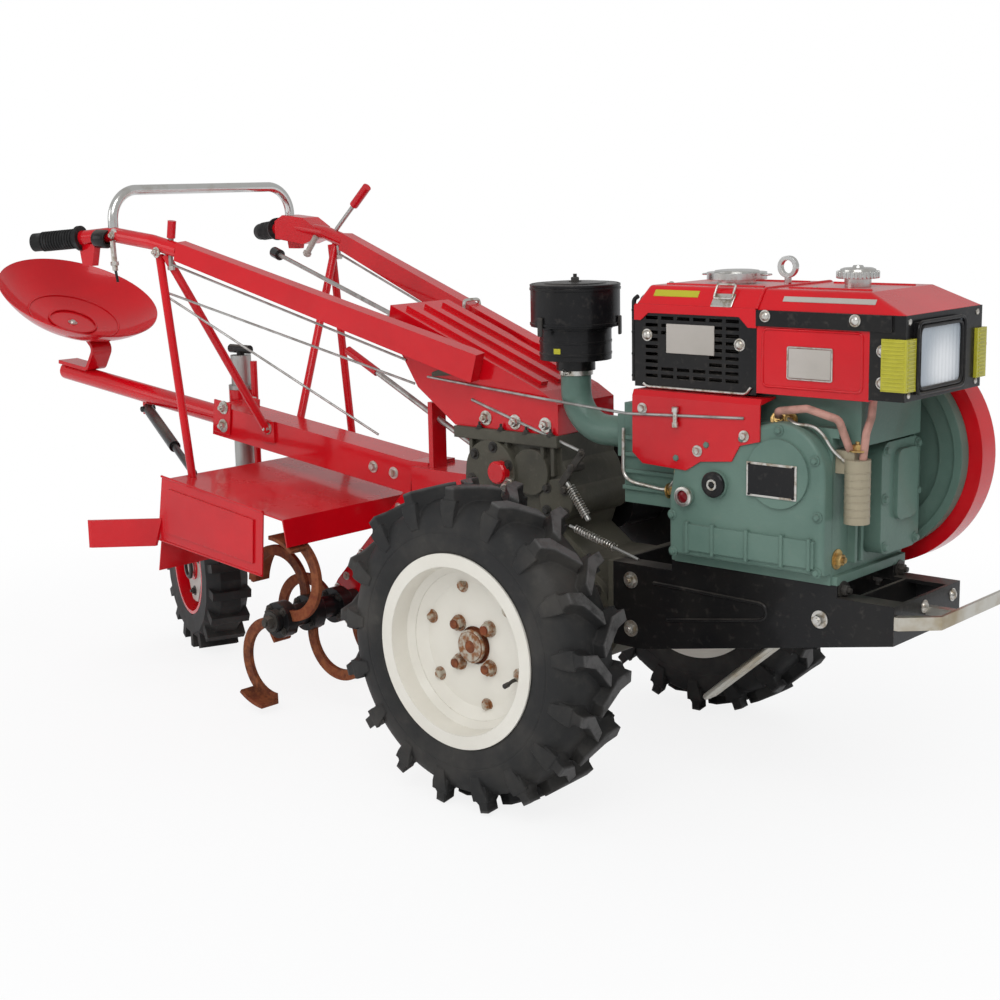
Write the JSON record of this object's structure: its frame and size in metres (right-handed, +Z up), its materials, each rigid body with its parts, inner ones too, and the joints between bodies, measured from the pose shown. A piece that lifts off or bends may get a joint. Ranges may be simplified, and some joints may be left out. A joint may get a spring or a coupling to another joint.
{
  "type": "walking tractor with riding rotary tiller",
  "caption": "Two-wheeled walking tractor with a diesel engine, long handlebars, a rotary tiller, a steered tail wheel and a riding seat.",
  "frame": {"origin": "on the ground, under the middle of the machine's length and width", "axes": "+X forward, +Y to the machine's left, +Z up"},
  "size_m": [2.5615, 0.856, 1.096],
  "materials": {
    "red_paint": "gloss",
    "engine_paint": "satin",
    "black_paint": "satin",
    "gearbox_paint": "satin",
    "cream_paint": "satin",
    "bare_steel": "satin",
    "chrome_plate": "polished",
    "rusty_steel": "matte",
    "tyre_rubber": "matte",
    "soft_rubber": "matte",
    "hose_rubber": "satin",
    "lamp_glass": "gloss",
    "lamp_plastic": "gloss",
    "filter_body": "satin"
  },
  "bodies": {
    "frame": {"chassis": "black_paint", "bumper_strap": "bare_steel", "gearbox": "gearbox_paint", "engine_block": "engine_paint", "gear_cover": "engine_paint", "head_shield": "red_paint", "intake_elbow": "engine_paint", "air_cleaner": "black_paint", "muffler": "black_paint", "fuel_filter": "filter_body", "drive_belts": "soft_rubber", "radiator_guard": "black_paint", "fuel_tank": "red_paint", "hood_top": "red_paint", "filler_caps": "chrome_plate", "lamp_housing": "black_paint", "headlamp": "lamp_glass", "side_lamps": "lamp_plastic", "steering_frame": "red_paint", "right_handlebar": "red_paint", "left_handlebar": "red_paint", "grips": "soft_rubber", "hand_rail": "chrome_plate", "tool_beam": "red_paint", "seat_tube": "red_paint", "seat_pan": "red_paint", "seat_leaf": "red_paint", "tiller_case": "red_paint", "tiller_hood": "red_paint", "tail_sleeve": "red_paint", "stays": "red_paint", "footrests": "red_paint", "control_rods": "bare_steel", "lever_handles": "red_paint", "depth_strut": "black_paint", "fuel_hoses": "hose_rubber"},
    "front_stand": {"front_stand": "bare_steel"},
    "right_wheel": {"right_tyre": "tyre_rubber", "right_rim": "cream_paint", "right_axle": "rusty_steel"},
    "left_wheel": {"left_tyre": "tyre_rubber", "left_rim": "cream_paint", "left_axle": "rusty_steel"},
    "flywheel": {"flywheel": "engine_paint", "flywheel_rim": "red_paint"},
    "clutch_pulley": {"clutch_pulley": "black_paint"},
    "tiller_rotor": {"rotor_shaft": "black_paint", "tines": "rusty_steel"},
    "tail_steering": {"tail_column": "bare_steel", "tail_handle": "black_paint"},
    "tail_wheel": {"tail_tyre": "tyre_rubber", "tail_rim": "red_paint"}
  },
  "joints": [
    {"name": "right_wheel_spin", "type": "hinge", "parent": "frame", "child": "right_wheel", "pos_m": [0.547, -0.36, 0.29], "axis": [0, 1, 0], "continuous": true},
    {"name": "left_wheel_spin", "type": "hinge", "parent": "frame", "child": "left_wheel", "pos_m": [0.547, 0.36, 0.29], "axis": [0, 1, 0], "continuous": true},
    {"name": "flywheel_spin", "type": "hinge", "parent": "frame", "child": "flywheel", "pos_m": [1.025, 0.165, 0.612], "axis": [0, 1, 0], "continuous": true},
    {"name": "clutch_pulley_spin", "type": "hinge", "parent": "frame", "child": "clutch_pulley", "pos_m": [0.487, 0.242, 0.47], "axis": [0, 1, 0], "continuous": true},
    {"name": "tiller_rotor_spin", "type": "hinge", "parent": "frame", "child": "tiller_rotor", "pos_m": [-0.113, 0, 0.204], "axis": [0, 1, 0], "continuous": true},
    {"name": "tail_steer", "type": "hinge", "parent": "frame", "child": "tail_steering", "pos_m": [-0.583, 0.075, 0.56], "axis": [0, 0, 1], "range_deg": [-23, 62]},
    {"name": "tail_wheel_spin", "type": "hinge", "parent": "tail_steering", "child": "tail_wheel", "pos_m": [-0.66753, 0.00993, 0.195], "axis": [0.3746, 0.9272, 0], "continuous": true},
    {"name": "stand_swing", "type": "hinge", "parent": "frame", "child": "front_stand", "pos_m": [1.017, -0.06, 0.335], "axis": [0, -1, 0], "range_deg": [0, 62]}
  ]
}
